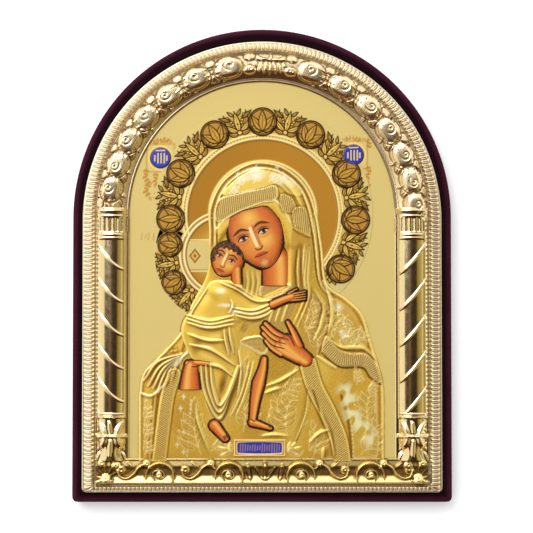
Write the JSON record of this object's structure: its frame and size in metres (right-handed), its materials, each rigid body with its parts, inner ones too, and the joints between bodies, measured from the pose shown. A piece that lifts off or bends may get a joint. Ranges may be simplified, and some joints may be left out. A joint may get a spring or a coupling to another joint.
{
  "type": "icon panel",
  "caption": "Arch-topped panel: a velvet-covered board with an embossed gilt frame of columns, leaves and scrolls round a gilt relief plate of a veiled mother and child",
  "frame": {"origin": "centre of the back face, which the panel lies on", "axes": "+X to the picture's right, +Y up the picture, +Z out of its face"},
  "size_m": [0.18, 0.225, 0.0185],
  "materials": {
    "velvet": "short-pile dark burgundy velvet, lighter where the pile turns over the edge",
    "frame_gilt": "bright pale gold plating over embossed relief",
    "plate_gilt": "gold foil, matte ground, bright embossed drapery, printed tints in the recesses"
  },
  "bodies": {
    "root": {"velvet_board": "velvet", "gilt_frame": "frame_gilt", "icon_plate": "plate_gilt"}
  },
  "joints": []
}
